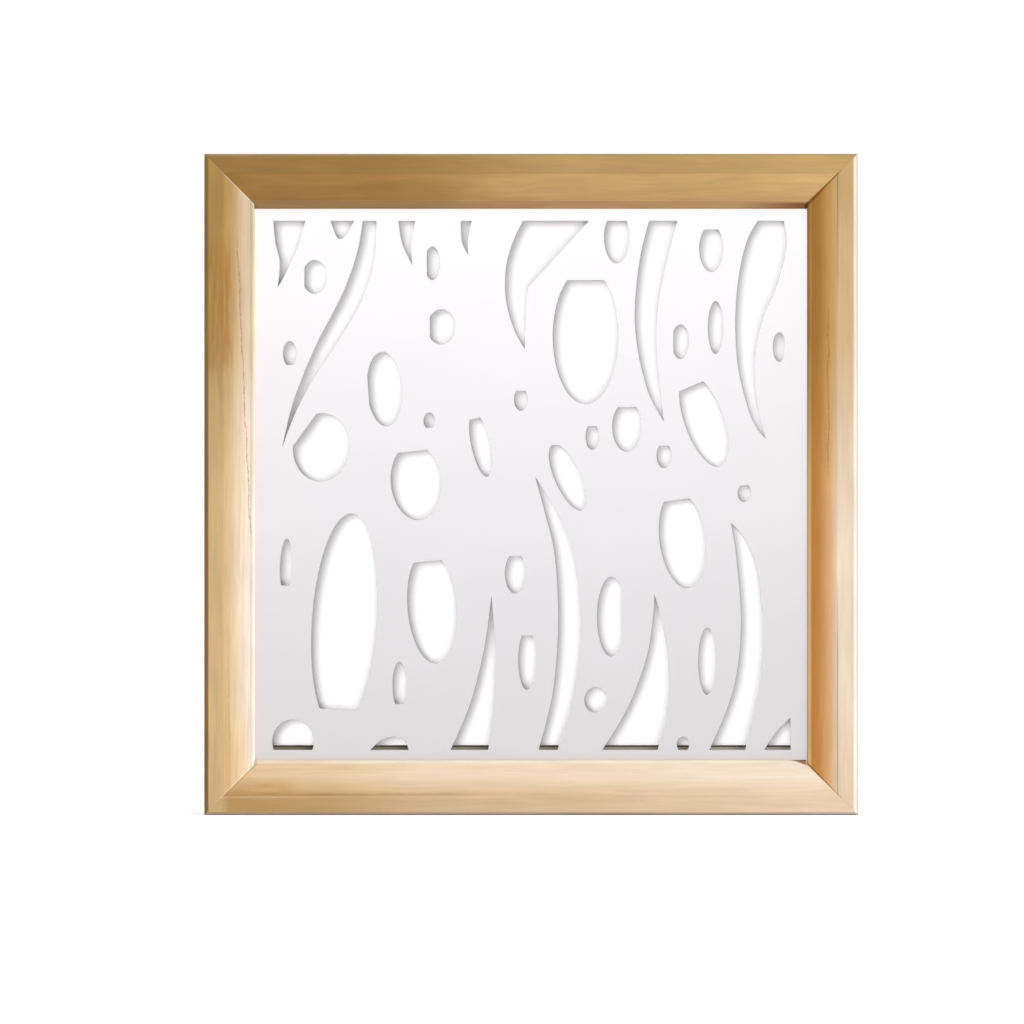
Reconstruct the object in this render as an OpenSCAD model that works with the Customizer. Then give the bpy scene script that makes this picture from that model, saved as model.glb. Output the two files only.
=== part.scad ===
// Decorative panel: a white pierced sheet held in a moulded, mitred wooden frame.
// Seen from the front, X runs to the right, Z runs up and the front faces -Y.
// The origin is the middle of the bottom edge, halfway through the depth.

/* [Frame] */
// Overall width of the frame
frame_w = 600; // [500:1:900]
// Overall height of the frame
frame_h = 607; // [500:1:900]
// Depth of the frame, from its back to its flat front band
frame_d = 35; // [31:1:50]
// Width of the left and right stiles, from the outer edge to the sight edge
stile_w = 46; // [44:1:60]
// Width of the top and bottom rails, from the outer edge to the sight edge
rail_w = 50; // [44:1:60]

/* [Moulding] */
// Width of the flat outer band
band_w = 18; // [12:0.5:22]
// Radius of the rounded outer arris
arris_r = 4; // [2:0.5:6]
// Drop of the small step between the band and the ovolo
step_d = 0.4; // [0.4:0.1:2]
// Slope of the ovolo where it starts at the foot of the step, in degrees
ovolo_lead = 8; // [2:1:12]
// Width of the lip between the ovolo and the sight edge, on the narrower member
lip_w = 4; // [3:0.5:8]
// Thickness of the lip in front of the pierced sheet
lip_t = 4.5; // [3:0.5:7]
// Radius of the lip's front edge
lip_r = 1.5; // [0.5:0.1:2]

/* [Rebate and beads] */
// How far the rebate reaches behind the sight edge
rebate_w = 12; // [8:1:14]
// Thickness of the beads that hold the sheet in
bead_t = 10; // [8:0.5:12]
// How far the beads lie below the back of the frame
bead_set = 0.5; // [0.2:0.1:1]
// How far the bottom batten rises above the sight edge
batten_rise = 13; // [6:1:30]

/* [Pierced sheet] */
// Thickness of the sheet
panel_t = 9; // [6:0.5:11]
// Gap between the edge of the sheet and the rebate
panel_gap = 0.5; // [0.2:0.1:1.5]
// Solid strip between the top sight edge and the pattern
top_web = 11; // [8:1:20]
// Solid strip between the bottom sight edge and the pattern
bottom_web = 9; // [8:1:20]
// How far the pattern sits to the left of the middle
art_left = 0.5; // [-2:0.1:2]
// Length of the flats that make up the edge of a pebble
facet = 3.2; // [2:0.1:5]
// Flats between two neighbouring points of a blade's edge
blade_steps = 6; // [4:1:8]

/* [Corner joints] */
// Length of a corner biscuit
biscuit_l = 35; // [26:1:36]
// Width of a corner biscuit
biscuit_w = 13; // [10:0.5:14]
// Thickness of a corner biscuit
biscuit_t = 4; // [3:0.1:5]
// Distance of the biscuit's middle from the back of the frame
biscuit_set = 14; // [13:0.5:16]
// Distance of the biscuit's middle from the outer edges
biscuit_in = 17; // [15:0.5:18]
// Gap between a biscuit and its slot
biscuit_gap = 0.1; // [0.05:0.05:0.2]
// Length of a V nail, which is driven in from the back
v_nail_l = 9; // [6:0.5:10]
// Length of each leg of a V nail
v_nail_leg = 6; // [4:0.5:7]
// Thickness of a V nail's steel strip
v_nail_t = 0.6; // [0.4:0.1:0.8]
// Distance of the outer V nail from the outer edges
v_nail_out = 8; // [6:0.5:9]
// Distance of the inner V nail from the outer edges
v_nail_in = 25; // [20:0.5:26]

/* [Brads] */
// Diameter of a brad
brad_d = 1.4; // [1:0.1:2]
// Diameter of a brad's head
brad_head_d = 2.4; // [2.2:0.1:3]
// Thickness of a brad's head
brad_head_t = 0.8; // [0.5:0.1:1.2]
// How far a brad reaches into the frame
brad_grip = 10; // [6:1:14]
// Gap round a fastener in its hole
hole_gap = 0.05; // [0.02:0.01:0.1]

/* [Hangers] */
// Distance from the top of the frame to the middle of a hanger
hanger_drop = 90; // [70:1:150]
// Length of a keyhole plate
hanger_l = 46; // [42:1:60]
// Width of a keyhole plate
hanger_w = 18; // [16:0.5:22]
// Thickness of a keyhole plate
hanger_t = 2; // [1.5:0.1:3]
// Gap between the edge of a keyhole plate and its recess
hanger_gap = 0.1; // [0.05:0.05:0.3]
// Diameter of the round end of the keyhole, where a screw head enters
key_head_d = 9.5; // [8.5:0.1:10]
// Width of the keyhole's slot, where the screw's shank hangs
key_slot_w = 5; // [3.5:0.1:6]
// Length of the slot, between the two centres
key_run = 10; // [8:0.5:12]
// Depth of the pocket in the stile behind the keyhole
pocket_d = 8; // [6:0.5:12]
// Diameter of a hanger screw's shank
screw_d = 3; // [2.5:0.1:3.5]
// Diameter of its countersunk head
screw_head_d = 5.6; // [5.4:0.1:6.4]
// Length of a hanger screw
screw_l = 16; // [12:1:20]

/* [Hidden] */
$fn = 64;

back_y = frame_d / 2;
field_w = frame_w - 2 * stile_w;
field_h = frame_h - 2 * rail_w;
rebate_d = panel_t + bead_t + bead_set;
lip_v = rebate_d + lip_t;
cut_over = 1;

// The moulding is the same on all four members. A wider member has a wider lip.
mould_w = min(stile_w, rail_w);
ovolo_top = frame_d - step_d;
ovolo_run = mould_w - lip_w - band_w;
ovolo_drop = ovolo_top - lip_v;
ovolo_half_turn = atan2(ovolo_drop, ovolo_run) - ovolo_lead;
ovolo_r = norm([ovolo_run, ovolo_drop]) / (2 * sin(ovolo_half_turn));

panel_w = field_w + 2 * (rebate_w - panel_gap);
panel_h = field_h + 2 * (rebate_w - panel_gap);
panel_y = back_y - rebate_d;
rebate_x = field_w / 2 + rebate_w;
rebate_bottom = rail_w - rebate_w;
rebate_top = frame_h - rebate_bottom;
bead_y = back_y - bead_set - bead_t;
batten_h = rebate_w + batten_rise;
batten_top = rail_w + batten_rise;
brad_places = [0.17, 0.5, 0.83];

// The pattern is drawn on a field of this size and stretched to the field that is there.
art_w = 508;
art_h = 486;
art_x = field_w / art_w;
art_z = (field_h - top_web - bottom_web) / art_h;

key_clear = 2;
screw_inset = 5.5;
screw_recess_l = 3.4;
screw_recess_w = 0.8;
screw_recess_d = 1;
hanger_x = frame_w / 2 - (stile_w - rebate_w) / 2;
hanger_z = frame_h - hanger_drop;
head_t = (screw_head_d - screw_d) / 2;

// Frame

// Section of a member: x runs from the outer edge to the sight edge, y from the back to the front.
module moulding(width) {
    square([arris_r, frame_d - arris_r]);
    translate([arris_r, frame_d - arris_r]) circle(r = arris_r);
    translate([arris_r, 0]) square([band_w - arris_r, frame_d]);
    translate([band_w, 0]) square([width - lip_r - band_w, lip_v]);
    square([width, lip_v - lip_r]);
    translate([width - lip_r, lip_v - lip_r]) circle(r = lip_r);
    intersection() {
        translate([band_w - ovolo_r * sin(ovolo_lead), ovolo_top - ovolo_r * cos(ovolo_lead)])
            circle(r = ovolo_r, $fn = 4 * $fn);
        translate([band_w, lip_v]) square([ovolo_run, ovolo_drop]);
    }
}

// Prism through the whole depth, over an outline drawn in front view.
module over(outline, from_y, to_y) {
    translate([0, to_y, 0]) rotate([90, 0, 0]) linear_extrude(height = to_y - from_y)
        polygon(outline);
}

module block(x0, x1, y0, y1, z0, z1) {
    translate([x0, y0, z0]) cube([x1 - x0, y1 - y0, z1 - z0]);
}

// Carries a shape from the local frame of a corner, which runs inwards from the outer corner,
// to the corner on side -1 or 1, at level 0 for the bottom or 1 for the top.
module at_corner(side, level) {
    translate([side * frame_w / 2, 0, level * frame_h])
        mirror([side > 0 ? 1 : 0, 0, 0])
            mirror([0, 0, level > 0 ? 1 : 0])
                children();
}

module at_corners() {
    for (side = [-1, 1], level = [0, 1]) at_corner(side, level) children();
}

module rebate() {
    block(-rebate_x, rebate_x, back_y - rebate_d, back_y + cut_over, rebate_bottom, rebate_top);
}

module joint_cuts() {
    at_corners() {
        biscuit(biscuit_gap);
        corner_v_nails(hole_gap);
    }
}

module left_stile_blank() {
    intersection() {
        translate([-frame_w / 2, back_y, 0]) linear_extrude(height = frame_h)
            mirror([0, 1]) moulding(stile_w);
        translate([-frame_w / 2, 0, 0])
            over(
                [
                    [0, 0], [mould_w, mould_w], [stile_w, rail_w],
                    [stile_w, frame_h - rail_w], [mould_w, frame_h - mould_w], [0, frame_h]
                ],
                -frame_d, frame_d
            );
    }
}

module stile(side) {
    difference() {
        mirror([side > 0 ? 1 : 0, 0, 0]) left_stile_blank();
        rebate();
        joint_cuts();
        bead_brad_holes();
        translate([side * hanger_x, back_y, hanger_z]) hanger_cut();
        hanger_screw_set(side, hole_gap);
    }
}

module bottom_rail_blank() {
    intersection() {
        translate([frame_w / 2, back_y, 0]) rotate([0, -90, 0]) linear_extrude(height = frame_w)
            mirror([0, 1]) moulding(rail_w);
        translate([-frame_w / 2, 0, 0])
            over(
                [
                    [0, 0], [frame_w, 0], [frame_w - mould_w, mould_w],
                    [frame_w - stile_w, rail_w], [stile_w, rail_w], [mould_w, mould_w]
                ],
                -frame_d, frame_d
            );
    }
}

module bottom_rail() {
    color("burlywood") difference() {
        bottom_rail_blank();
        rebate();
        joint_cuts();
        batten_brad_set(hole_gap);
    }
}

module top_rail() {
    color("burlywood") difference() {
        translate([0, 0, frame_h]) mirror([0, 0, 1]) bottom_rail_blank();
        rebate();
        joint_cuts();
        bead_brad_holes();
    }
}

module left_stile() {
    color("tan") stile(-1);
}

module right_stile() {
    color("tan") stile(1);
}

// Corner joints, drawn in the local frame of a corner, where the mitre lies along x = z

module biscuit(grow = 0) {
    length = biscuit_l + 2 * grow;
    width = biscuit_w + 2 * grow;
    side_r = (length * length + width * width) / (4 * width);
    translate([biscuit_in, back_y - biscuit_set, biscuit_in])
        rotate([90, -45, 0])
            linear_extrude(height = biscuit_t + 2 * grow, center = true)
                intersection_for(side = [-1, 1])
                    translate([0, side * (side_r - width / 2)]) circle(r = side_r, $fn = 2 * $fn);
}

// One V nail: two legs of a bent strip, one in each member, that meet on the mitre.
module v_nail(place, grow = 0) {
    translate([place - grow, back_y - v_nail_l, place - grow]) {
        cube([v_nail_leg + 2 * grow, v_nail_l, v_nail_t + 2 * grow]);
        cube([v_nail_t + 2 * grow, v_nail_l, v_nail_leg + 2 * grow]);
    }
}

module corner_v_nails(grow = 0) {
    for (place = [v_nail_out, v_nail_in]) v_nail(place, grow);
}

module v_nails() {
    color("silver") at_corners() corner_v_nails();
}

module top_left_biscuit() {
    color("wheat") at_corner(-1, 1) biscuit();
}

module top_right_biscuit() {
    color("wheat") at_corner(1, 1) biscuit();
}

module bottom_left_biscuit() {
    color("wheat") at_corner(-1, 0) biscuit();
}

module bottom_right_biscuit() {
    color("wheat") at_corner(1, 0) biscuit();
}

// Beads, batten and the brads that pin them

module top_bead() {
    color("peru") difference() {
        block(-rebate_x, rebate_x, bead_y, bead_y + bead_t, rebate_top - rebate_w, rebate_top);
        bead_brad_holes();
    }
}

module side_bead(side) {
    color("peru") difference() {
        mirror([side > 0 ? 1 : 0, 0, 0])
            block(
                -rebate_x, -field_w / 2, bead_y, bead_y + bead_t, batten_top, rebate_top - rebate_w
            );
        bead_brad_holes();
    }
}

module left_bead() {
    side_bead(-1);
}

module right_bead() {
    side_bead(1);
}

module bottom_batten() {
    color([0.42, 0.37, 0.25]) difference() {
        block(-rebate_x, rebate_x, bead_y, bead_y + bead_t, rebate_bottom, batten_top);
        batten_brad_set(hole_gap);
    }
}

// A brad from its head at the origin along +Z.
module brad(length, grow = 0) {
    translate([0, 0, -grow]) cylinder(d = brad_d + 2 * grow, h = length + 2 * grow);
    translate([0, 0, -grow]) cylinder(d = brad_head_d + 2 * grow, h = brad_head_t + grow);
}

module bead_brad_set(grow = 0) {
    length = rebate_w + brad_grip;
    for (place = brad_places, side = [-1, 1])
        translate([side * field_w / 2, bead_y + bead_t / 2, rail_w + place * field_h])
            rotate([0, side * 90, 0]) brad(length, grow);
    for (place = brad_places)
        translate([(place - 0.5) * field_w, bead_y + bead_t / 2, frame_h - rail_w])
            brad(length, grow);
}

module batten_brad_set(grow = 0) {
    for (place = brad_places)
        translate([(place - 0.5) * field_w, bead_y + bead_t / 2, batten_top])
            rotate([180, 0, 0]) brad(batten_h + brad_grip, grow);
}

module bead_brad_holes() {
    bead_brad_set(hole_gap);
}

module bead_brads() {
    color("silver") bead_brad_set();
}

module batten_brads() {
    color("silver") batten_brad_set();
}

// Keyhole hangers, let into the backs of the stiles

// Flat shape with round ends, upright in front view, as deep as given, its back on y = 0.
module upright_slot(width, run, depth) {
    rotate([90, 0, 0]) linear_extrude(height = depth) {
        for (end = [0, run]) translate([0, end]) circle(d = width);
        translate([-width / 2, 0]) square([width, run]);
    }
}

module plate_shape(depth, grow = 0) {
    run = hanger_l - hanger_w;
    translate([0, 0, -run / 2]) upright_slot(hanger_w + 2 * grow, run, depth);
}

module keyhole(depth) {
    translate([0, 0, -key_run / 2]) {
        rotate([90, 0, 0]) cylinder(d = key_head_d, h = depth);
        upright_slot(key_slot_w, key_run, depth);
    }
}

// The recess for the plate and the pocket for the head of the wall screw behind it.
module hanger_cut() {
    translate([0, cut_over, 0]) plate_shape(hanger_t + cut_over, hanger_gap);
    translate([0, cut_over, -key_run / 2]) {
        rotate([90, 0, 0])
            cylinder(d = key_head_d + 2 * key_clear, h = hanger_t + pocket_d + cut_over);
        upright_slot(key_head_d, key_run, hanger_t + pocket_d + cut_over);
    }
}

// A countersunk screw whose flat head is at the origin and whose point is towards -Y.
module hanger_screw(grow = 0) {
    rotate([90, 0, 0]) {
        cylinder(d1 = screw_head_d + 2 * grow, d2 = screw_d + 2 * grow, h = head_t);
        cylinder(d = screw_d + 2 * grow, h = screw_l + grow);
    }
}

module hanger_screw_set(side, grow = 0) {
    for (end = [-1, 1])
        translate([side * hanger_x, back_y, hanger_z + end * (hanger_l / 2 - screw_inset)])
            hanger_screw(grow);
}

module hanger(side) {
    color("lightgray") difference() {
        translate([side * hanger_x, back_y, hanger_z]) plate_shape(hanger_t);
        translate([side * hanger_x, back_y + cut_over, hanger_z]) keyhole(hanger_t + 2 * cut_over);
        hanger_screw_set(side, hole_gap);
    }
}

module left_hanger() {
    hanger(-1);
}

module right_hanger() {
    hanger(1);
}

module hanger_screws() {
    color("silver") for (side = [-1, 1]) difference() {
        hanger_screw_set(side);
        for (end = [-1, 1], turn = [0, 90])
            translate([side * hanger_x, back_y, hanger_z + end * (hanger_l / 2 - screw_inset)])
                rotate([0, turn, 0])
                    cube([screw_recess_l, 2 * screw_recess_d, screw_recess_w], center = true);
    }
}

// Pierced sheet

// Moves a point of the drawn pattern to its place on the sheet, in front view.
function placed(p) =
    [p[0] * art_x - field_w / 2 - art_left, p[1] * art_z + rail_w + bottom_web];

function turned(p, angle) =
    [p[0] * cos(angle) - p[1] * sin(angle), p[0] * sin(angle) + p[1] * cos(angle)];

// A pebble is an oval at a place, leaning to the left by tilt degrees. One straight side may cut
// it off at reach from its middle, in the direction flat of the oval's own axes.
module pebble(at, size, tilt = 0, flat = 0, reach = 0) {
    a = size[0] / 2;
    b = size[1] / 2;
    span = norm([a * cos(flat), b * sin(flat)]);
    middle = atan2(b * sin(flat), a * cos(flat));
    cut = reach > 0 ? acos(reach / span) : 0;
    steps = max(16, ceil(PI * (a + b) / facet));
    last = reach > 0 ? steps : steps - 1;
    polygon([
        for (i = [0:last])
            let (t = middle + cut + (360 - 2 * cut) * i / steps)
                placed(at + turned([a * cos(t), b * sin(t)], tilt))
    ]);
}

// A smooth curve through the points, with blade_steps flats between each two of them.
function bend(p, q, r, s, t) =
    0.5 * (2 * q + (r - p) * t + (2 * p - 5 * q + 4 * r - s) * t * t
        + (3 * q - 3 * r + s - p) * t * t * t);

function curve(points) =
    let (n = len(points) - 1)
        [
            for (i = [0:n - 1], k = [0:blade_steps - 1])
                bend(
                    points[max(i - 1, 0)], points[i], points[i + 1], points[min(i + 2, n)],
                    k / blade_steps
                )
        ];

// A blade lies between two curves that run from its broad end to its tip.
module blade(left, right, tip) {
    up = curve(concat(left, [tip]));
    down = curve(concat(right, [tip]));
    polygon([
        for (p = up) placed(p),
        placed(tip),
        for (i = [len(down) - 1:-1:0]) placed(down[i])
    ]);
}

// Blades that hang from the top of the pattern.
module top_blades() {
    blade([[17.4, 486], [19.3, 466], [23.3, 448]], [[47, 486], [39, 460], [27, 434]], [21.4, 425]);
    blade([[70, 486], [75, 472.5]], [[92, 486], [84, 472]], [79, 469]);
    blade(
        [[99.6, 486], [94.5, 457], [81.4, 420], [56.3, 371], [39.2, 330], [32.3, 308]],
        [[112.5, 486], [110, 447], [96.5, 408], [73.5, 370], [53.4, 339], [37.4, 308.5]],
        [25.6, 278]
    );
    blade([[132.5, 486], [136, 465]], [[148, 486], [144.5, 463]], [145.5, 445]);
    blade([[190, 486], [191, 467]], [[200, 486], [196.5, 467]], [197, 454]);
    blade(
        [[247, 486], [238, 467], [231.5, 443], [231.5, 414], [239, 386]],
        [[249.8, 404]],
        [249, 368]
    );
    blade(
        [[363, 486], [354.5, 450], [350, 404], [353, 366], [363, 327]],
        [[389.4, 486], [379.2, 447], [371.2, 404], [370.4, 361]],
        [377, 301]
    );
    blade(
        [[463, 486], [453, 467], [445.5, 434], [442.5, 394], [445, 352], [453.5, 316], [461, 297.5]],
        [[487.5, 486], [490, 464], [482, 429], [468.5, 396], [461, 360], [462.5, 319]],
        [471, 285]
    );
}

// The straight-sided half of the broad opening beside the fourth blade.
module top_wedge() {
    polygon([for (p = [[247, 486], [308, 486], [252, 425], [249.8, 404], [238, 430]]) placed(p)]);
}

// Blades that rise from the bottom of the pattern.
module bottom_blades() {
    blade(
        [[180.5, 0], [199, 44], [211.5, 94]],
        [[215.2, 0], [220.2, 40], [221.6, 94]],
        [218.2, 142]
    );
    blade([[106.5, 0], [117, 9.5]], [[142, 0], [138.5, 9.5]], [128, 12.7]);
    blade(
        [[261.5, 0], [274, 50], [279.5, 112], [276.5, 178], [267, 219]],
        [[279, 0], [293, 47], [300.5, 108], [295.5, 168.5], [280.5, 213]],
        [258.5, 251]
    );
    blade(
        [[320, 0], [344, 40], [361, 86], [367, 124]],
        [[371.2, 0], [380.2, 36], [381.2, 84], [373.2, 126]],
        [368, 143]
    );
    blade(
        [[418.7, 0], [440.2, 54], [447.7, 112], [443.7, 174]],
        [[452, 0], [464.7, 58], [468.3, 108], [463.3, 162], [452, 193]],
        [438.5, 209]
    );
    blade([[469, 0], [479.5, 16]], [[493.7, 0], [493.7, 16]], [493.2, 30]);
}

// Ovals that the top or the bottom of the pattern cuts off.
module cut_ovals() {
    pebble(at = [333.5, 471], size = [23.5, 48.5]);
    pebble(at = [35.5, 7.5], size = [38.5, 41.5]);
    pebble(at = [394.5, 5], size = [11.5, 15]);
}

module upper_pebbles() {
    pebble(at = [55.5, 434.5], size = [23, 31], flat = 180, reach = 9.5);
    pebble(at = [163.8, 447], size = [14.4, 31], flat = 180, reach = 5.2);
    pebble(at = [172, 388.5], size = [26, 32.4], flat = 180, reach = 10.5);
    pebble(at = [32.5, 364], size = [12.5, 23.5], flat = 270, reach = 10.5);
    pebble(at = [119.7, 331.5], size = [32.5, 68.5], tilt = 4, flat = 180, reach = 15);
    pebble(at = [161, 302.5], size = [11, 15.5], flat = 270, reach = 6.5);
    pebble(at = [61.5, 278], size = [52.2, 63], tilt = -5, flat = 149, reach = 21.7);
    pebble(at = [148.5, 246], size = [46, 70], tilt = 6, flat = 90, reach = 28.5);
    pebble(at = [208, 280.5], size = [17, 60.5], tilt = 12, flat = 90, reach = 24.5);
    pebble(at = [245.3, 322], size = [13, 20.8], flat = 90, reach = 8);
    pebble(at = [304.8, 380], size = [60.5, 124.5], flat = 90, reach = 51.5);
    pebble(at = [311, 288], size = [12.5, 25], flat = 90, reach = 9.5);
    pebble(at = [342.8, 297], size = [27.2, 46], flat = 90, reach = 18);
    pebble(at = [377, 270.5], size = [14, 23.5], flat = 90, reach = 9);
    pebble(at = [420.5, 460.5], size = [22.5, 43], flat = 90, reach = 17.5);
    pebble(at = [392, 375], size = [16, 32], flat = 180, reach = 6.5);
    pebble(at = [424.5, 388], size = [14.5, 49]);
    pebble(at = [483, 370], size = [12, 27.5], flat = 0, reach = 5);
    pebble(at = [413.6, 302.6], size = [35.8, 90], tilt = 20, flat = 93, reach = 33.5);
    pebble(at = [288, 250.5], size = [23.4, 66], tilt = 24, flat = 66, reach = 29.7);
}

module lower_pebbles() {
    pebble(at = [451, 236], size = [13, 17], flat = 90, reach = 7);
    pebble(at = [29, 168.5], size = [11, 52], tilt = -2, flat = 270, reach = 17.5);
    pebble(at = [82.6, 118], size = [59.5, 199], tilt = -4, flat = 270, reach = 81.5);
    pebble(at = [163.2, 131], size = [44.6, 104], tilt = 5, flat = 90, reach = 42.5);
    pebble(at = [240, 162.5], size = [19, 38], flat = 90, reach = 15.5);
    pebble(at = [251, 83], size = [16.5, 56], flat = 90, reach = 22);
    pebble(at = [133.5, 59.5], size = [13, 43.5], flat = 270, reach = 17.5);
    pebble(at = [328.5, 122.5], size = [26.5, 73.5], flat = 0, reach = 10);
    pebble(at = [314, 46], size = [21.2, 24]);
    pebble(at = [393.8, 193], size = [42, 90], tilt = 8, flat = 90, reach = 37);
    pebble(at = [416.8, 81.5], size = [17, 62]);
}

module pattern() {
    intersection() {
        translate(placed([0, 0])) square([art_w * art_x, art_h * art_z]);
        union() {
            top_blades();
            top_wedge();
            bottom_blades();
            cut_ovals();
            upper_pebbles();
            lower_pebbles();
        }
    }
}

module pierced_sheet() {
    color("white") translate([0, panel_y + panel_t, 0]) rotate([90, 0, 0])
        linear_extrude(height = panel_t)
            difference() {
                translate([-panel_w / 2, rebate_bottom]) square([panel_w, panel_h]);
                pattern();
            }
}

top_rail();
bottom_rail();
left_stile();
right_stile();
pierced_sheet();
top_bead();
left_bead();
right_bead();
bottom_batten();
bead_brads();
batten_brads();
top_left_biscuit();
top_right_biscuit();
bottom_left_biscuit();
bottom_right_biscuit();
v_nails();
left_hanger();
right_hanger();
hanger_screws();
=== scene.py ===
# %% [markdown]
# # A pierced panel in a moulded wooden frame
# The object is a white sheet, cut through with blades and flat-sided ovals, in a frame of pale
# lacquered wood. Its solids come ready from the CAD model, so this lesson is about everything
# else: the camera, the light, the wood, the paint and the metal.

# %% Load the object
import math

import bpy
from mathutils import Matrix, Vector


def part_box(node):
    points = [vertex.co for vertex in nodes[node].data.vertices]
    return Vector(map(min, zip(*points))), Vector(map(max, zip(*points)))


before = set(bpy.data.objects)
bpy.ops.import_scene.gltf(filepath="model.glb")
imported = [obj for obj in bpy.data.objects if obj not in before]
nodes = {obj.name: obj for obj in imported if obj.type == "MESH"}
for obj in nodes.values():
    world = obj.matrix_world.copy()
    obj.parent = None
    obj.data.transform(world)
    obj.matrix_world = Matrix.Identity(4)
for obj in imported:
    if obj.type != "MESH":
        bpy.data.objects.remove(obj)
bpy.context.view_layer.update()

# %% [markdown]
# ## The camera
# The photograph looks straight at the panel, and the four members taper so little towards the
# sheet that the camera must have stood far off. Six metres with a long lens gives the same flat
# view. The panel sits a little above and to the right of the picture's middle, so the camera
# stands a little below and to the left of the panel's middle, and needs no lens shift.

# %% Camera
SENSOR_MM, LENS_MM = 36, 229.2
CAMERA_STANDS = (-0.0174, -6.0, 0.2781)

camera_data = bpy.data.cameras.new("camera")
camera_data.sensor_width = SENSOR_MM
camera_data.lens = LENS_MM
camera = bpy.data.objects.new("camera", camera_data)
bpy.context.scene.collection.objects.link(camera)
camera.location = CAMERA_STANDS
camera.rotation_euler = (math.radians(90), 0, 0)
bpy.context.scene.camera = camera
bpy.context.scene.view_settings.view_transform = "Standard"
print("camera", tuple(camera.location), "lens", camera_data.lens, "mm")

# %% [markdown]
# ## Small helpers for shader nodes
# A material is a small network of nodes. These helpers add one node each and join it to what
# feeds it, so that a finish below reads like a recipe. An input may be a number, a colour or
# the output of another node.

# %% Helpers for shader nodes
def colour(hexadecimal):
    """The colour written as six hexadecimal digits, as the linear values that shaders use."""
    parts = [int(hexadecimal[i : i + 2], 16) / 255 for i in (0, 2, 4)]
    linear = [p / 12.92 if p <= 0.04045 else ((p + 0.055) / 1.055) ** 2.4 for p in parts]
    return (*linear, 1.0)


def feed(tree, socket, value):
    if isinstance(value, bpy.types.NodeSocket):
        tree.links.new(value, socket)
    else:
        socket.default_value = value


def math_step(tree, operation, a, b=0.0, c=0.0):
    step = tree.nodes.new("ShaderNodeMath")
    step.operation = operation
    for socket, value in zip(step.inputs, (a, b, c)):
        feed(tree, socket, value)
    return step.outputs[0]


def remap(tree, value, low, high, to_low=0.0, to_high=1.0, smooth=False):
    step = tree.nodes.new("ShaderNodeMapRange")
    step.interpolation_type = "SMOOTHSTEP" if smooth else "LINEAR"
    for name, number in (("Value", value), ("From Min", low), ("From Max", high),
                         ("To Min", to_low), ("To Max", to_high)):
        feed(tree, step.inputs[name], number)
    return step.outputs[0]


def blend_colours(tree, factor, first, second, way="MIX"):
    step = tree.nodes.new("ShaderNodeMix")
    step.data_type = "RGBA"
    step.blend_type = way
    feed(tree, step.inputs[0], factor)
    feed(tree, step.inputs[6], first)
    feed(tree, step.inputs[7], second)
    return step.outputs[2]


def colour_band(tree, value, stops):
    """A colour ramp over value, from (place, colour) pairs."""
    step = tree.nodes.new("ShaderNodeValToRGB")
    band = step.color_ramp
    while len(band.elements) < len(stops):
        band.elements.new(0.5)
    for element, (place, shade) in zip(band.elements, stops):
        element.position = place
        element.color = shade
    feed(tree, step.inputs[0], value)
    return step.outputs[0]


def noise(tree, vector, scale, detail=2.0, roughness=0.5):
    step = tree.nodes.new("ShaderNodeTexNoise")
    feed(tree, step.inputs["Vector"], vector)
    feed(tree, step.inputs["Scale"], scale)
    feed(tree, step.inputs["Detail"], detail)
    feed(tree, step.inputs["Roughness"], roughness)
    return step.outputs["Fac"]


def place_on_object(tree):
    """The point being shaded, in metres, as (vector, x, y, z)."""
    where = tree.nodes.new("ShaderNodeTexCoord").outputs["Object"]
    split = tree.nodes.new("ShaderNodeSeparateXYZ")
    tree.links.new(where, split.inputs[0])
    return where, split.outputs[0], split.outputs[1], split.outputs[2]


def stretched(tree, vector, scale):
    step = tree.nodes.new("ShaderNodeMapping")
    tree.links.new(vector, step.inputs["Vector"])
    step.inputs["Scale"].default_value = scale
    return step.outputs[0]


def new_finish(name):
    finish = bpy.data.materials.new(name)
    finish.use_nodes = True
    return finish, finish.node_tree, finish.node_tree.nodes["Principled BSDF"]


def relief(tree, shader, height, distance, strength):
    """Make the surface look raised by distance, in metres, where height is 1."""
    step = tree.nodes.new("ShaderNodeBump")
    step.inputs["Distance"].default_value = distance
    step.inputs["Strength"].default_value = strength
    tree.links.new(height, step.inputs["Height"])
    tree.links.new(step.outputs[0], shader.inputs["Normal"])
    return step


def dress(finish, *names):
    for name in names:
        nodes[name].data.materials.clear()
        nodes[name].data.materials.append(finish)


print("helpers ready")

# %% [markdown]
# ## The lacquered wood of the frame
# Each member is one length of pale softwood under clear lacquer, so its grain runs along it. A
# photograph of wood could be wrapped round it, but noise needs no picture, never repeats, and can
# turn with each member. Two distances describe a point: how far it is across the member from its
# outer edge, and how far along. At a mitre a point is as far across as it is from the end, as far
# in as the 46 mm that stiles and rails share.

# %% Where a point lies on a member, in metres
MM = 0.001
WIDTH, HEIGHT = 0.600, 0.607
MITRE = 0.046


def wood_place(tree, member):
    """The point, its distances across and along the member, and the member's length."""
    where, x, _, z = place_on_object(tree)
    if member == "left_stile":
        return where, math_step(tree, "ADD", x, WIDTH / 2), z, HEIGHT
    if member == "right_stile":
        return where, math_step(tree, "SUBTRACT", WIDTH / 2, x), z, HEIGHT
    run = math_step(tree, "ADD", x, WIDTH / 2)
    if member == "bottom_rail":
        return where, z, run, WIDTH
    return where, math_step(tree, "SUBTRACT", HEIGHT, z), run, WIDTH


print("rails", WIDTH, "m long, stiles", HEIGHT, "m, mitred over", MITRE, "m")
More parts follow.
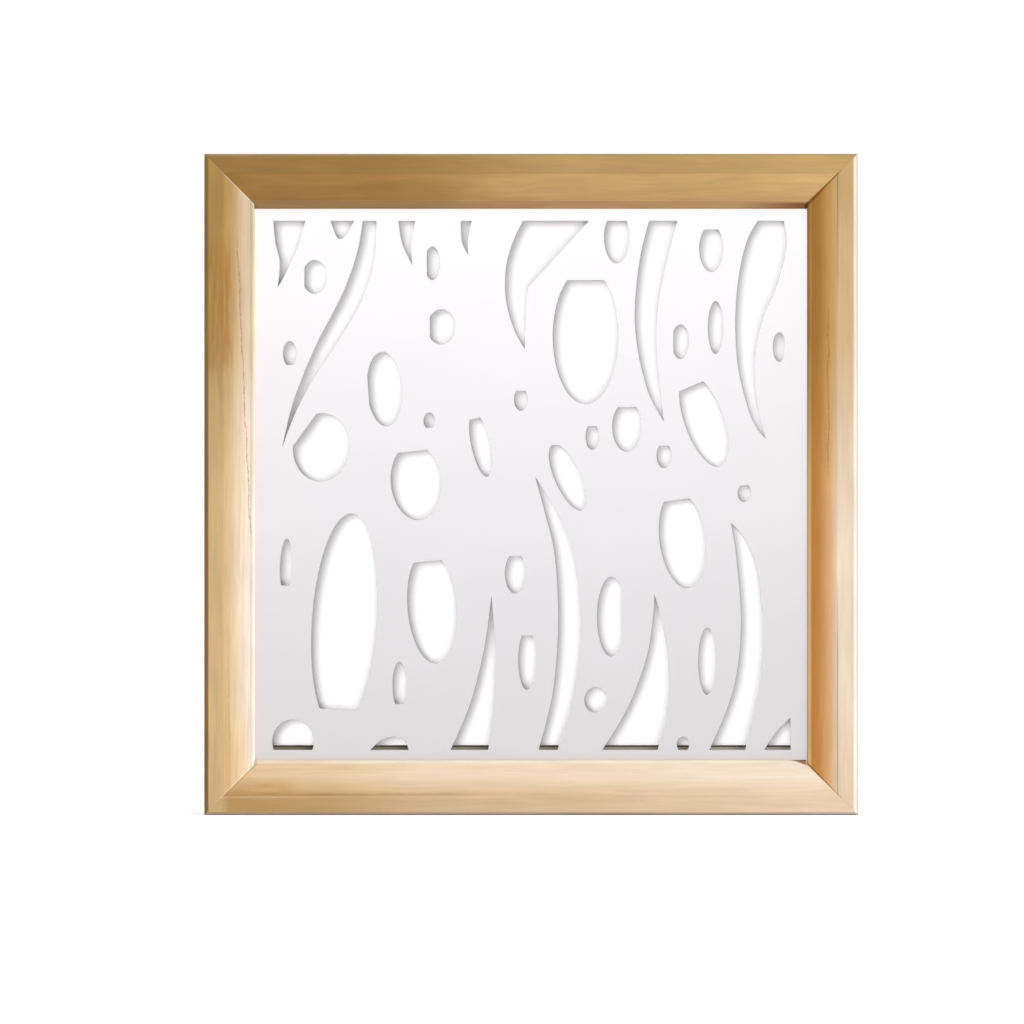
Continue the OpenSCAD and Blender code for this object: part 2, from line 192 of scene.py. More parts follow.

# %% [markdown]
# From its outer edge inwards the moulding has a rounded arris, a flat, a shoulder where the curve
# begins, a slope, and a flat lip beside the sheet. Each of them has a tone of its own, and these
# tones hold painted light and shade as well as the wood's colour. The left and bottom slopes and
# lips are painted pale as a painted highlight. The right slope and lip and the top lip are painted
# darker and more orange as painted shade. The right arris is painted near white as a painted
# highlight, and the left and top arrises are painted dark as painted shade. Along its length each
# member changes from a darker golden tone to a paler cream. The frame is darkest at its top left
# and palest at its bottom right, which is partly the wood's own tone and partly a painted gradient
# of light. So a member gets two tones for each part, one for either end, and a drift that says how
# far the change has come at some places along it.

# %% Tone along the member and across its moulding
# The drift is partly the wood's own tone and partly a painted gradient of light, darker at the
# frame's top left and paler at its bottom right.
def tone_and_light_drift(tree, along, length, places):
    """places lists (metres from the first end, share of the last end's tone)."""
    stops = [(place / length, (share, share, share, 1)) for place, share in places]
    return colour_band(tree, remap(tree, along, 0, length), stops)


# The parts' tones hold painted highlight and painted shade as well as the wood's colour.
def moulded_tone_and_shade(tree, across, drift, flat, parts):
    """flat is (first tone, last tone). Each of the parts is (start, end, first tone, last tone),
    and takes over between start and end, in millimetres from the outer edge."""
    tone = blend_colours(tree, drift, colour(flat[0]), colour(flat[1]))
    for start, end, first, last in parts.values():
        part = blend_colours(tree, drift, colour(first), colour(last))
        tone = blend_colours(tree, remap(tree, across, start * MM, end * MM), tone, part)
    return tone


print("tones can drift along a member and change across its moulding")

# %% [markdown]
# Grain is noise stretched along the member, in three sizes: soft blotches as wide as a finger,
# growth rings a few millimetres apart, and fine fibres. Wave textures would also draw rings, but
# noise is less even, as softwood is. Each size makes the tone a little lighter or darker, and a
# fourth noise leans it towards straw or towards rose. The two leanings average to no change at
# all. The point is first moved by a slow noise, so that the grain wanders a little instead of
# running dead straight.

# %% Grain
def product(tree, *values):
    result = values[0]
    for value in values[1:]:
        result = math_step(tree, "MULTIPLY", result, value)
    return result


def brightened(tree, tone, factor):
    step = tree.nodes.new("ShaderNodeVectorMath")
    step.operation = "SCALE"
    feed(tree, step.inputs[0], tone)
    feed(tree, step.inputs["Scale"], factor)
    return step.outputs[0]


def wandering(tree, where, size, reach):
    """The point, moved by up to about half of reach by a noise that changes over size."""
    drifting = tree.nodes.new("ShaderNodeTexNoise")
    feed(tree, drifting.inputs["Vector"], where)
    drifting.inputs["Scale"].default_value = 1 / size
    step = tree.nodes.new("ShaderNodeVectorMath")
    step.operation = "MULTIPLY_ADD"
    tree.links.new(drifting.outputs["Color"], step.inputs[0])
    step.inputs[1].default_value = (reach, reach, reach)
    tree.links.new(where, step.inputs[2])
    return step.outputs[0]


WANDER_SIZE, WANDER_REACH = 0.09, 0.009
# Each size of noise, as its width and its run along the grain, in metres, and its strength
BLOTCH, RINGS, FIBRE = (0.011, 0.07, 0.08), (0.0032, 0.09, 0.07), (0.0007, 0.03, 0.02)
HUE_WIDTH, HUE_RUN = 0.012, 0.06
TO_STRAW, TO_ROSE = (0.994, 1.010, 0.962, 1), (1.006, 0.990, 1.038, 1)


def grained(tree, tone, where, long_x, amount):
    """The tone with grain over it, from an amount of 0 for none to 1 for the most."""
    where = wandering(tree, where, WANDER_SIZE, WANDER_REACH)

    def along_grain(width, run):
        steps = (1 / run, 1 / width, 1 / width) if long_x else (1 / width, 1 / width, 1 / run)
        return stretched(tree, where, steps)

    blotch = noise(tree, along_grain(*BLOTCH[:2]), 1, 2)
    rings = noise(tree, along_grain(*RINGS[:2]), 1, 3, 0.6)
    fibre = noise(tree, along_grain(*FIBRE[:2]), 1, 3, 0.6)
    hue = noise(tree, along_grain(HUE_WIDTH, HUE_RUN), 1, 2)
    lightness = product(
        tree, *(remap(tree, size, 0.3, 0.7, 1 - share * amount, 1 + share * amount)
                for size, share in ((blotch, BLOTCH[2]), (rings, RINGS[2]), (fibre, FIBRE[2])))
    )
    lean = blend_colours(tree, remap(tree, hue, 0.35, 0.65), TO_STRAW, TO_ROSE)
    tone = blend_colours(tree, amount, tone, lean, "MULTIPLY")
    return brightened(tree, tone, lightness), fibre


print("grain in blotches, rings and fibres", BLOTCH[0], RINGS[0], FIBRE[0], "m wide")

# %% [markdown]
# A mitre shows on one member as a hair of brown glue, and on its neighbour as a pale line, a
# painted highlight along the joint. Both are strongest on the slope and lost near the outer
# corner. The line could be a groove in the solids, but it is thinner than that, so it is painted
# where the joint runs: at 45 degrees as far as the moulding is shared, then straight across the
# rail's wider lip. Glue darkens the wood by multiplying its tone with a brown, and gathers towards
# the inner corner, while the painted highlight covers the tone with a cream. The same brown also
# paints shade into the right stile's crease.

# %% Mitre lines
# The brown of glue, which also paints shade into a crease, and the cream of a painted highlight
# along a mitre.
GLUE_AND_SHADE, JOINT_HIGHLIGHT = (0.34, 0.20, 0.06, 1), colour("ffe8c8")
OUTER_STRENGTH = 0.12
GLUE_GATHERS = 1.4 * MM


def mitre_line(tree, tone, across, from_end, strength, is_rail):
    """strength is above 0 for a dark glue line and below 0 for a pale line of painted highlight.
    """
    shared = math_step(tree, "MINIMUM", across, MITRE) if is_rail else across
    off_joint = math_step(tree, "ABSOLUTE", math_step(tree, "SUBTRACT", from_end, shared))
    inwards = remap(tree, across, 14 * MM, 20 * MM, OUTER_STRENGTH, 1)
    if strength > 0:
        gathered = remap(tree, across, 20 * MM, MITRE, 0, GLUE_GATHERS)
        off_glue = math_step(tree, "SUBTRACT", off_joint, gathered)
        line = remap(tree, off_glue, 0.2 * MM, 1.6 * MM, 1, 0)
        return blend_colours(tree, product(tree, line, inwards, strength), tone, GLUE_AND_SHADE, "MULTIPLY")
    # The pale line is a painted highlight along the joint.
    line = remap(tree, off_joint, 0.4 * MM, 1.7 * MM, 1, 0)
    return blend_colours(tree, product(tree, line, inwards, -strength), tone, JOINT_HIGHLIGHT)


print("glue gathers to", GLUE_GATHERS, "m at the inner corner")

# %% [markdown]
# The outer sides and the back have no moulding. They are only planed, so they keep one plain
# tone, and are duller than the lacquered front. A second material could be set on those faces,
# but a mask made from the point's place blends them without a hard edge.

# %% Sides and back
PLANED = colour("ceaa7c")
FRONT = -0.0175


def planed_share(tree, across):
    """1 on the outer side and on the back of a member, and 0 on its front."""
    y = place_on_object(tree)[2]
    side = product(tree, remap(tree, across, 2.2 * MM, 0.8 * MM),
                   remap(tree, y, FRONT + 0.8 * MM, FRONT + 2.5 * MM))
    back = remap(tree, y, FRONT + 12 * MM, FRONT + 13 * MM)
    return math_step(tree, "MAXIMUM", side, back)


print("the moulding's face lies at", FRONT, "m")

# %% [markdown]
# Now the recipe. The tone is built up much in the order in which a real frame gets it: the stock,
# with the painted light and shade in its tones, its marks, the planed faces, the grain, and the
# joints last. The lacquer is a thin one, so it shines only softly.

# %% Lacquered wood
LACQUER_ROUGHNESS, LACQUER_SPECULAR = (0.36, 0.44), 0.2
PLANED_ROUGHER, PLANED_SPECULAR = 0.35, 0.04


def lacquered_wood(member, grain, flat, parts, places, joints, marks):
    """joints is the strength of the mitre line at each end, and marks adds what this member alone
    has."""
    finish, tree, shader = new_finish("lacquered_" + member)
    is_rail = member.endswith("rail")
    where, across, along, length = wood_place(tree, member)
    drift = tone_and_light_drift(tree, along, length, places)
    tone = moulded_tone_and_shade(tree, across, drift, flat, parts)
    tone = marks(tree, tone, where, across, along)
    planed = planed_share(tree, across)
    tone = blend_colours(tree, planed, tone, PLANED)
    tone, fibre = grained(tree, tone, where, is_rail, grain)
    for from_end, strength in zip((along, math_step(tree, "SUBTRACT", length, along)), joints):
        if strength:
            tone = mitre_line(tree, tone, across, from_end, strength, is_rail)
    tree.links.new(tone, shader.inputs["Base Color"])
    roughness = remap(tree, fibre, 0.3, 0.7, *LACQUER_ROUGHNESS)
    roughness = math_step(tree, "MULTIPLY_ADD", planed, PLANED_ROUGHER, roughness)
    specular = remap(tree, planed, 0, 1, LACQUER_SPECULAR, PLANED_SPECULAR)
    tree.links.new(roughness, shader.inputs["Roughness"])
    tree.links.new(specular, shader.inputs["Specular IOR Level"])
    relief(tree, shader, fibre, 0.05 * MM, 0.5)
    dress(finish, member)
    print(finish.name, "has", len(tree.nodes), "shader nodes")


print("lacquer of roughness", LACQUER_ROUGHNESS)

# %% [markdown]
# Every length of wood has marks of its own. A mark is a colour laid over a band, and a band is a
# number that is 1 in the middle and falls to 0 at its edges. Two bands multiplied make a patch,
# and a patch times streaks looks like stained grain. Places across a member are written in
# millimetres from its outer edge, and places along it in metres from its first end.

# %% Helpers for marks
LINE_WOBBLE = 1.2 * MM
LINE_FADE = 0.03


def band(tree, value, middle, half_width, fade):
    off = math_step(tree, "ABSOLUTE", math_step(tree, "SUBTRACT", value, middle))
    return remap(tree, off, half_width, half_width + fade, 1, 0, True)


def up_to(tree, value, start, end):
    """1 below start, 0 above end."""
    return remap(tree, value, start, end, 1, 0)


def streaks_of(tree, where, steps, detail, low, high, least):
    """Noise stretched by steps: 1 on a strong streak, and least between the streaks."""
    return remap(tree, noise(tree, stretched(tree, where, steps), 1, detail), low, high, least, 1)


def laid_over(tree, tone, shade, strength, *shares):
    return blend_colours(tree, product(tree, *shares, strength), tone, colour(shade))


def growth_ring(tree, tone, where, across, along, start, lean, span, strength, shade):
    """A thin, broken line that leaves the outer edge by start, and by lean more for each metre
    along, between the two ends of span."""
    wobble = noise(tree, stretched(tree, where, (20, 20, 30)), 1, 5, 0.6)
    wobble = remap(tree, wobble, 0.3, 0.7, -LINE_WOBBLE, LINE_WOBBLE)
    middle = math_step(tree, "MULTIPLY_ADD", along, lean, start)
    middle = math_step(tree, "ADD", middle, wobble)
    line = band(tree, math_step(tree, "SUBTRACT", across, middle), 0, 0.15 * MM, 0.8 * MM)
    reach = band(tree, along, (span[0] + span[1]) / 2, (span[1] - span[0]) / 2, LINE_FADE)
    broken = remap(tree, noise(tree, where, 260, 2), 0.4, 0.6, 0.4, 1)
    return laid_over(tree, tone, shade, strength, line, reach, broken)


print("a growth ring wobbles by", LINE_WOBBLE, "m")

# %% [markdown]
# The left stile is the most marked: a knot lies just under its face, and has pulled the rings
# aside. The right one is cleaner. Along the middle of its little step a painted highlight hides
# the step's shadow, and at both ends painted shade darkens the crease.

# %% Marks on the stiles
def left_marks(tree, tone, where, across, along):
    """A warm streaky patch beside a knot, a golden lower end, and two wandering growth rings."""
    point = (where, across, along)
    streaks = streaks_of(tree, where, (330, 330, 26), 4, 0.38, 0.6, 0.1)
    patch = band(tree, across, 14 * MM, 7 * MM, 9 * MM)
    upper, lower = band(tree, along, 0.48, 0.022, 0.04), band(tree, along, 0.425, 0.006, 0.02)
    tone = laid_over(tree, tone, "ac7636", 0.68, patch, upper, streaks)
    tone = laid_over(tree, tone, "a8763c", 0.6, patch, lower, streaks)
    golden = band(tree, across, 28 * MM, 6 * MM, 9 * MM)
    tone = laid_over(tree, tone, "dcb47c", 0.5, golden, up_to(tree, along, 0.06, 0.11))
    tone = growth_ring(tree, tone, *point, 0.0540, -0.045, (0.27, 0.51), 0.55, "7a4e1c")
    return growth_ring(tree, tone, *point, 0.0225, 0, (0.07, 0.13), 0.35, "b08840")


def right_marks(tree, tone, where, across, along):
    """The little step beside the slope is painted paler along its middle, a painted highlight that
    hides its shadow, and at both ends painted shade darkens its crease into a line. The flat is
    more golden at the top and a little at the bottom."""
    off_middle = math_step(tree, "ABSOLUTE", math_step(tree, "SUBTRACT", along, 0.35))
    shaded_ends = remap(tree, off_middle, 0.13, 0.20)
    step = band(tree, across, 18.5 * MM, 0.5 * MM, 0.8 * MM)
    lit_step = product(tree, step, math_step(tree, "SUBTRACT", 1, shaded_ends))
    # A painted highlight lifts the step's middle, and painted shade darkens the crease at both
    # ends.
    tone = brightened(tree, tone, remap(tree, lit_step, 0, 1, 1, 1.28))
    crease_shade = band(tree, across, 18.8 * MM, 0.2 * MM, 0.6 * MM)
    tone = blend_colours(tree, product(tree, crease_shade, shaded_ends, 0.2), tone, GLUE_AND_SHADE, "MULTIPLY")
    flat = product(tree, up_to(tree, across, 17 * MM, 19 * MM),
                   remap(tree, across, 4 * MM, 5 * MM))
    tone = laid_over(tree, tone, "cda870", 0.75, flat, remap(tree, along, 0.535, 0.57))
    tone = laid_over(tree, tone, "dcbc90", 0.4, flat, up_to(tree, along, 0.05, 0.11))
    return growth_ring(tree, tone, where, across, along, 0.027, 0, (0.33, 0.45), 0.45, "8a5a20")


print("marks ready for the stiles")

# %% [markdown]
# The rails are marked mostly near their mitres. Some marks are stain wiped off unevenly, and
# beside the right mitres the lip carries a painted shadow where the right stile shades it.

# %% Marks on the rails
def top_marks(tree, tone, _, across, along):
    """The slope is darker beside the left mitre, and the lip beside the right one is darkened by a
    painted shadow from the right stile.
    """
    upper_slope = band(tree, across, 23 * MM, 4 * MM, 3 * MM)
    tone = laid_over(tree, tone, "8a642c", 0.35, upper_slope, up_to(tree, along, 0.026, 0.048))
    # Painted shadow on the lip in the inner corner beside the right stile.
    lip = remap(tree, across, 43.5 * MM, 45.5 * MM)
    return laid_over(tree, tone, "6a4210", 0.9, lip, remap(tree, along, 0.49, 0.552))


def bottom_marks(tree, tone, where, across, along):
    """A rosy left corner, an arris that is darker at one place and painted paler towards the right
    end as painted light, painted shade and a painted highlight along the step, a soft blotch, and
    a brown painted shadow at the right mitre, with a nearly black line along the lip's arris."""
    corner = product(tree, up_to(tree, across, 16 * MM, 18 * MM),
                     remap(tree, across, 2.5 * MM, 3 * MM))
    tone = laid_over(tree, tone, "d8b485", 0.8, corner, up_to(tree, along, 0.016, 0.023))
    inner = remap(tree, across, 18 * MM, 20 * MM)
    tone = laid_over(tree, tone, "8a5a20", 0.13, inner, up_to(tree, along, 0.030, 0.050))
    # The arris is darker near 0.36 m along, and painted paler towards the right end as painted
    # light.
    arris_band = up_to(tree, across, 1.6 * MM, 2.8 * MM)
    tone = laid_over(tree, tone, "8c7864", 0.3, arris_band, band(tree, along, 0.363, 0.015, 0.05))
    tone = laid_over(tree, tone, "efe6e0", 0.4, arris_band, remap(tree, along, 0.52, 0.56))
    left_part = up_to(tree, along, 0.20, 0.34)
    patchy = remap(tree, noise(tree, where, 30, 2), 0.35, 0.6)
    # Painted shade just past the step and a painted highlight on the flat beside it, on the left
    # part.
    dark = band(tree, across, 19 * MM, 0.6 * MM, 1.4 * MM)
    pale = band(tree, across, 16.4 * MM, 0.5 * MM, 0.8 * MM)
    tone = laid_over(tree, tone, "a87840", 0.4, dark, left_part, patchy)
    tone = laid_over(tree, tone, "ffe0b0", 0.25, pale, left_part)
    blotch = product(tree, band(tree, across, 25 * MM, 2 * MM, 9 * MM),
                     band(tree, along, 0.058, 0.008, 0.03))
    streaks = streaks_of(tree, where, (25, 200, 200), 3, 0.35, 0.6, 0.2)
    tone = laid_over(tree, tone, "b8883e", 0.6, blotch, streaks)
    # A brown painted shadow on the lip in the inner corner beside the right stile, and a nearly
    # black painted shade along the lip's arris there.
    slanted = math_step(tree, "ADD", across, math_step(tree, "MULTIPLY_ADD", along, 0.37, -0.2))
    tone = laid_over(tree, tone, "985c22", 0.9, remap(tree, slanted, 49.5 * MM, 50.5 * MM))
    lip_arris = remap(tree, across, 48.6 * MM, 49.4 * MM)
    return laid_over(tree, tone, "4a2c0c", 0.75, lip_arris, remap(tree, along, 0.535, 0.55))


print("marks ready for the rails")

# %% [markdown]
# Now the four members. After the name and the amount of grain come the flat's two tones, then
# the other parts of the moulding, the drift, the strength of the mitre line at both ends, and the
# member's own marks. The tones and the drift hold painted light and shade as well as the wood's
# own colour.

# %% The four members
lacquered_wood(
    "left_stile", 1.0, ("dab887", "b28d50"),
    {"shoulder": (19, 27, "e3c8a0", "ba9662"), "slope": (27, 38, "e8d6c2", "ccb594"),
     "lip": (42.3, 43.5, "fff3e6", "dfceb2"), "arris": (4.6, 3.4, "9c6e42", "9b7a3e")},
    [(0.29, 0), (0.38, 0.42), (0.43, 0.88), (0.50, 1)], (-0.45, -0.3), left_marks,
)
lacquered_wood(
    "right_stile", 0.7, ("f8e2c9", "dab88a"),
    {"shoulder": (18, 25, "fac68e", "dcac62"), "slope": (25, 36, "eba353", "ca8f40"),
     "lip": (42.5, 43.7, "dfb990", "a07a46"), "arris": (4.7, 3.5, "f2eee8", "e3dace")},
    [(0.23, 0), (0.30, 0.17), (0.38, 0.60), (0.44, 1)], (0.8, 0.7), right_marks,
)
lacquered_wood(
    "top_rail", 0.85, ("a07b41", "cba76d"),
    {"slope": (17.6, 18.4, "ab7f44", "e1b87c"), "lip": (42.0, 43.2, "99784e", "c2986c"),
     "arris": (2.8, 1.6, "9e8a6e", "b49c72")},
    [(0.17, 0), (0.22, 0.20), (0.27, 0.53), (0.33, 0.70), (0.48, 0.74), (0.55, 1)],
    (0.15, 0.9), top_marks,
)
lacquered_wood(
    "bottom_rail", 0.6, ("bf9962", "f2d6b7"),
    {"shoulder": (17, 24, "d9b680", "f6dcbf"), "slope": (24, 36, "edcda6", "ffecd6"),
     "lip": (46.0, 47.2, "f4e4ca", "fbefde"), "arris": (2.8, 1.6, "c6b09c", "d0c2b6")},
    [(0.03, 0), (0.11, 0.12), (0.22, 0.52), (0.33, 0.60), (0.44, 0.84), (0.55, 1)],
    (0.25, -0.5), bottom_marks,
)

# %% [markdown]
# ## The painted sheet
# The sheet is wood fibre board sprayed with flat white paint, so it has hardly any texture: a
# very fine orange peel and a slight change of sheen. Paint rounds a cut edge a little. A Bevel
# modifier would do the same to the mesh, but on 48 curved openings it costs many faces, so a
# Bevel node only bends the light there.

# %% White paint
def eased_edges(tree, radius):
    step = tree.nodes.new("ShaderNodeBevel")
    step.samples = 4
    step.inputs["Radius"].default_value = radius
    return step.outputs[0]


PAINT = (colour("f1eff1"), colour("f3f1f3"))
PAINT_ROUGHNESS = (0.55, 0.62)
DULL_SPECULAR = 0.3
EASED_EDGE = 0.6 * MM

white_paint, tree, shader = new_finish("white_paint")
where = place_on_object(tree)[0]
cloud = noise(tree, where, 9, 2)
peel = noise(tree, where, 900, 2)
tree.links.new(
    blend_colours(tree, remap(tree, cloud, 0.35, 0.65), *PAINT), shader.inputs["Base Color"]
)
tree.links.new(remap(tree, cloud, 0.3, 0.7, *PAINT_ROUGHNESS), shader.inputs["Roughness"])
shader.inputs["Specular IOR Level"].default_value = DULL_SPECULAR
peel_step = relief(tree, shader, peel, 0.02 * MM, 0.4)
tree.links.new(eased_edges(tree, EASED_EDGE), peel_step.inputs["Normal"])
dress(white_paint, "pierced_sheet")
print("painted the sheet, its edges eased by", EASED_EDGE, "m")

# %% [markdown]
# ## The wood behind
# The beads and the batten are plain planed strips that no one was meant to see. The batten does
# show, as a dark strip at the foot of the lowest openings. Its dark grey-brown is partly stain and
# partly painted shade. It grows paler from left to right as painted light, and its top arris is
# painted nearly black as painted shade under the sheet's edge. The biscuits are pressed beech.
# None of them has a moulding, so one recipe with two end tones and two sizes of noise does for
# all.

# %% Plain wood
# The nearly black of painted shade on the batten's top arris.
TOP_EDGE_SHADE = colour("3c3226")


def plain_wood(name, first, last, run, parts, shaded_top=None):
    """first and last are the tones at the two ends: left and right for a run of x, or bottom and
    top for z. shaded_top is the height of a top arris that is painted nearly black, as painted
    shade."""
    finish, tree, shader = new_finish(name)
    where, x, _, z = place_on_object(tree)
    share = remap(tree, x, -WIDTH / 2, WIDTH / 2) if run == "x" else remap(tree, z, 0, HEIGHT)
    scale = {"x": (1, 14, 14), "z": (14, 14, 1)}[run]
    figure = noise(tree, stretched(tree, where, scale), 12, 3, 0.6)
    fibre = noise(tree, stretched(tree, where, tuple(s * 5 for s in scale)), 24, 3, 0.6)
    tone = blend_colours(tree, share, colour(first), colour(last))
    tone = brightened(tree, tone, product(tree, remap(tree, figure, 0.3, 0.7, 0.92, 1.08),
                                          remap(tree, fibre, 0.35, 0.75, 1, 0.85)))
    # Painted shade darkens the top arris to nearly black.
    if shaded_top:
        near = remap(tree, z, shaded_top - 1.7 * MM, shaded_top - 1.1 * MM)
        tone = blend_colours(tree, near, tone, TOP_EDGE_SHADE)
    tree.links.new(tone, shader.inputs["Base Color"])
    tree.links.new(remap(tree, fibre, 0.3, 0.7, 0.6, 0.75), shader.inputs["Roughness"])
    shader.inputs["Specular IOR Level"].default_value = DULL_SPECULAR
    relief(tree, shader, fibre, 0.08 * MM, 0.6)
    dress(finish, *parts)
    print(name, "on", ", ".join(parts))


batten_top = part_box("bottom_batten")[1].z
plain_wood("bead_pine", "b8925f", "c4a06c", "z", ["left_bead", "right_bead"])
plain_wood("top_bead_pine", "c4a06c", "b8925f", "x", ["top_bead"])
# The batten's tones are partly stain and partly painted shade, paler to the right as painted
# light.
plain_wood("batten_stain_and_shade", "685e46", "a89f91", "x", ["bottom_batten"], batten_top)
plain_wood(
    "pressed_beech", "c09468", "caa076", "x",
    ["top_left_biscuit", "top_right_biscuit", "bottom_left_biscuit", "bottom_right_biscuit"],
)

# %% [markdown]
# ## The metal
# The keyhole plates and their screws are zinc plated, which is a soft, slightly bluish grey with
# a cloudy sheen. The brads and the V nails are bright drawn steel, a little darker, with fine
# scratches along them. Both are the same recipe with other numbers.

# %% Steel
def steel(name, dark, pale, sheen, parts):
    """sheen is the roughness where the metal is clear and where it is cloudy."""
    finish, tree, shader = new_finish(name)
    where = place_on_object(tree)[0]
    cloud = noise(tree, where, 260, 3, 0.6)
    scratches = noise(tree, stretched(tree, where, (1, 1, 14)), 420, 2)
    tree.links.new(
        blend_colours(tree, remap(tree, cloud, 0.3, 0.7), colour(dark), colour(pale)),
        shader.inputs["Base Color"],
    )
    tree.links.new(remap(tree, cloud, 0.3, 0.7, *sheen), shader.inputs["Roughness"])
    shader.inputs["Metallic"].default_value = 1.0
    relief(tree, shader, scratches, 0.01 * MM, 0.5)
    dress(finish, *parts)
    print(name, "on", ", ".join(parts))


zinc_plated = ["left_hanger", "right_hanger", "hanger_screws"]
steel("zinc_plate", "93979d", "b8bcc1", (0.28, 0.42), zinc_plated)
steel("bright_steel", "85878b", "a4a6aa", (0.3, 0.45), ["bead_brads", "batten_brads", "v_nails"])

# %% [markdown]
# ## Floor and wall
# The panel stands on a white floor, with a white wall just behind it. The wall is what shows
# through the openings, and the sheet's shadow on it gives each opening its soft grey edge at the
# left and at the top. A grey rim could be painted on instead, but a real shadow is softer where
# an opening is wide and darker where it is narrow, as in the photograph. The floor is paler, and
# glows a little, for the camera and for reflections only. The rest of its white comes from light,
# so a shadow still darkens it. The wall is lit by two lamps of its own, and its colour leans a
# hair towards rose, as the shadows in the photograph do. It is clear from behind, so that the
# back can be seen too.

# %% Colours that rays see
FLOOR_BOUNCE, FLOOR_SEEN = (0.3, 0.3, 0.3, 1), (0.45, 0.45, 0.45, 1)
FLOOR_GLOW = 0.37
WALL_COLOUR = (0.303, 0.2965, 0.301, 1)


def matt_surface(name):
    surface, tree, shader = new_finish(name)
    tree.nodes.remove(shader)
    return surface, tree, tree.nodes.new("ShaderNodeBsdfDiffuse")


def seen_directly(tree):
    """1 for rays from the camera, a reflection or a see-through surface, and 0 for all others."""
    ray = tree.nodes.new("ShaderNodeLightPath")
    seen = math_step(tree, "MAXIMUM", ray.outputs["Is Camera Ray"], ray.outputs["Is Glossy Ray"])
    return math_step(tree, "MAXIMUM", seen, ray.outputs["Is Transmission Ray"])


print("the floor is", FLOOR_SEEN[0], "to the camera and", FLOOR_BOUNCE[0], "to other rays")

# %% [markdown]
# The floor adds its glow to plain matt white. The wall mixes matt white with a clear surface, and
# the side it is seen from decides which of the two it is.

# %% Materials of floor and wall
white_floor, tree, diffuse = matt_surface("white_floor")
seen = seen_directly(tree)
tree.links.new(blend_colours(tree, seen, FLOOR_BOUNCE, FLOOR_SEEN), diffuse.inputs["Color"])
glow = tree.nodes.new("ShaderNodeEmission")
tree.links.new(math_step(tree, "MULTIPLY", seen, FLOOR_GLOW), glow.inputs["Strength"])
both = tree.nodes.new("ShaderNodeAddShader")
tree.links.new(diffuse.outputs[0], both.inputs[0])
tree.links.new(glow.outputs[0], both.inputs[1])
tree.links.new(both.outputs[0], tree.nodes["Material Output"].inputs["Surface"])

white_wall, tree, diffuse = matt_surface("white_wall")
diffuse.inputs["Color"].default_value = WALL_COLOUR
clear = tree.nodes.new("ShaderNodeBsdfTransparent")
side = tree.nodes.new("ShaderNodeMixShader")
tree.links.new(tree.nodes.new("ShaderNodeNewGeometry").outputs["Backfacing"], side.inputs[0])
tree.links.new(diffuse.outputs[0], side.inputs[1])
tree.links.new(clear.outputs[0], side.inputs[2])
tree.links.new(side.outputs[0], tree.nodes["Material Output"].inputs["Surface"])
print("materials", white_floor.name, "and", white_wall.name)

# %% [markdown]
# The wall stands a millimetre behind the panel and reaches a little below the floor. Only the
# camera sees it, so that it throws no light or shadow on the object.

# %% Floor and wall in place
FLOOR_SIZE, WALL_SIZE = 40, 12
WALL_STANDS = (0, 0.0185, 5.9)
UNSEEN_BY = ("diffuse", "glossy", "transmission", "shadow", "volume_scatter")


def plane(name, size, place, tilt, surface):
    """tilt is in degrees, 0 for a floor and 90 for a wall."""
    turn = (math.radians(tilt), 0, 0)
    bpy.ops.mesh.primitive_plane_add(size=size, location=place, rotation=turn)
    made = bpy.context.object
    made.name = name
    made.data.materials.append(surface)
    return made


bpy.ops.object.select_all(action="DESELECT")
floor = plane("floor", FLOOR_SIZE, (0, 0, 0), 0, white_floor)
wall = plane("wall", WALL_SIZE, WALL_STANDS, 90, white_wall)
for ray_kind in UNSEEN_BY:
    setattr(wall, "visible_" + ray_kind, False)
print("floor and wall in place, the wall at", WALL_STANDS[1], "m")

# %% [markdown]
# ## Light
# A broad lamp far to the right and a little above models the mouldings: it leaves the left arris
# and the slope of the right stile dark and makes the left slope shine, and the painted light and
# shade in the wood's tones add to this. The world fills the shadows. The sheet has lamps of its
# own, one even and one overhead, because it fades from white at the top to pale grey at the
# bottom. Two lamps light the wall and shade the openings' left and upper edges, two light the
# floor, so that the frame's shadow falls behind it and close to its foot, and one shows the back.
# Light linking says which pieces each lamp reaches.

# %% World
WHITE = (1, 1, 1, 1)
FILL, BACKDROP = 0.5, 1.0

world = bpy.data.worlds.new("studio")
bpy.context.scene.world = world
world.use_nodes = True
tree = world.node_tree
fill = tree.nodes["Background"]
backdrop = tree.nodes.new("ShaderNodeBackground")
for background, strength in ((fill, FILL), (backdrop, BACKDROP)):
    background.inputs["Color"].default_value = WHITE
    background.inputs["Strength"].default_value = strength
choose = tree.nodes.new("ShaderNodeMixShader")
tree.links.new(seen_directly(tree), choose.inputs[0])
tree.links.new(fill.outputs[0], choose.inputs[1])
tree.links.new(backdrop.outputs[0], choose.inputs[2])
tree.links.new(choose.outputs[0], tree.nodes["World Output"].inputs["Surface"])
print("the world fills shadows with", FILL, "and looks like", BACKDROP)

# %% [markdown]
# A lamp far away lights everything from one direction, and its width decides how soft its shadows
# are. Most of the lamps here are of that kind.

# %% Helpers for lamps
def group_of(name, objects):
    group = bpy.data.collections.new(name)
    for o in objects:
        group.objects.link(o)
    return group


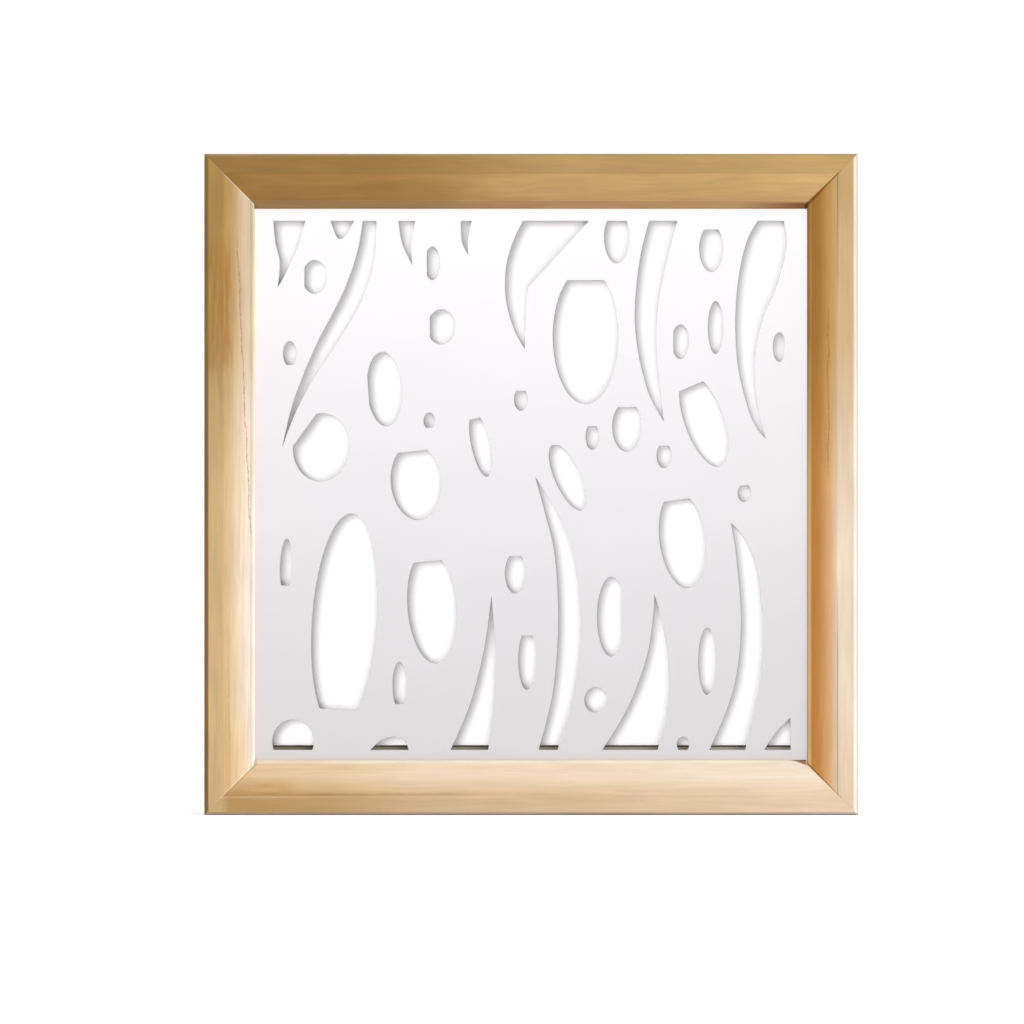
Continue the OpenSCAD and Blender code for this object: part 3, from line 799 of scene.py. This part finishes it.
def distant_lamp(name, towards, strength, spread, reaches, shadows_from=None):
    """towards points from the object to the lamp, and spread is its width in degrees."""
    data = bpy.data.lights.new(name, "SUN")
    data.energy = strength
    data.angle = math.radians(spread)
    lamp = bpy.data.objects.new(name, data)
    bpy.context.scene.collection.objects.link(lamp)
    lamp.rotation_mode = "QUATERNION"
    lamp.rotation_quaternion = Vector(towards).to_track_quat("Z", "Y")
    lamp.light_linking.receiver_collection = group_of(name + " reaches", reaches)
    if shadows_from:
        lamp.light_linking.blocker_collection = group_of(name + " shadows", shadows_from)
    print(name, "strength", strength, "reaches", len(reaches), "objects")


print("lamps can be given pieces to reach, and pieces to take shadows from")

# %% [markdown]
# The numbers after each name are the direction towards the lamp, its strength and its width. The
# lists say which pieces it lights and, where there are two, which pieces shade it.

# %% Distant lamps
sheet = nodes["pierced_sheet"]
woodwork = [o for o in nodes.values() if o is not sheet]
behind = [nodes[n] for n in ("bottom_batten", "top_bead", "left_bead", "right_bead")]

distant_lamp("key", (1.28, -1.0, 0.2), 3.0, 40, woodwork)
distant_lamp("sheet_front", (0.15, -1.0, 0.1), 0.16, 50, [sheet], [sheet, *behind])
distant_lamp("opening_shadow", (-0.24, -1.0, 0.13), 6.2, 24, [wall], [sheet])
distant_lamp("opening_edge", (0.08, -1.0, -0.18), 3.6, 22, [wall], [sheet])
distant_lamp("floor_shadow", (0.1, -0.6, 1.6), 2.4, 30, [floor])
distant_lamp("floor_contact", (0, -0.05, 1.0), 1.2, 16, [floor])
distant_lamp("back", (-0.5, 1.0, 0.3), 1.2, 60, [*nodes.values()])

# %% [markdown]
# The overhead lamp is a wide strip in front of the panel and above its middle. It is near enough
# to light the top of the sheet more than its foot.

# %% Overhead lamp
OVERHEAD_WATTS = 6.8
OVERHEAD_SIZE = (1.6, 0.2)
OVERHEAD_HANGS = (0, -0.8, 0.8)
OVERHEAD_TILT = 80

overhead_data = bpy.data.lights.new("overhead", "AREA")
overhead_data.shape = "RECTANGLE"
overhead_data.size, overhead_data.size_y = OVERHEAD_SIZE
overhead_data.energy = OVERHEAD_WATTS
overhead = bpy.data.objects.new("overhead", overhead_data)
bpy.context.scene.collection.objects.link(overhead)
overhead.location = OVERHEAD_HANGS
overhead.rotation_euler = (math.radians(OVERHEAD_TILT), 0, 0)
overhead.visible_camera = False
overhead.light_linking.receiver_collection = group_of("overhead reaches", [sheet])
overhead.light_linking.blocker_collection = group_of("overhead shadows", [sheet, *behind])
print("overhead", OVERHEAD_WATTS, "W, at", OVERHEAD_HANGS)
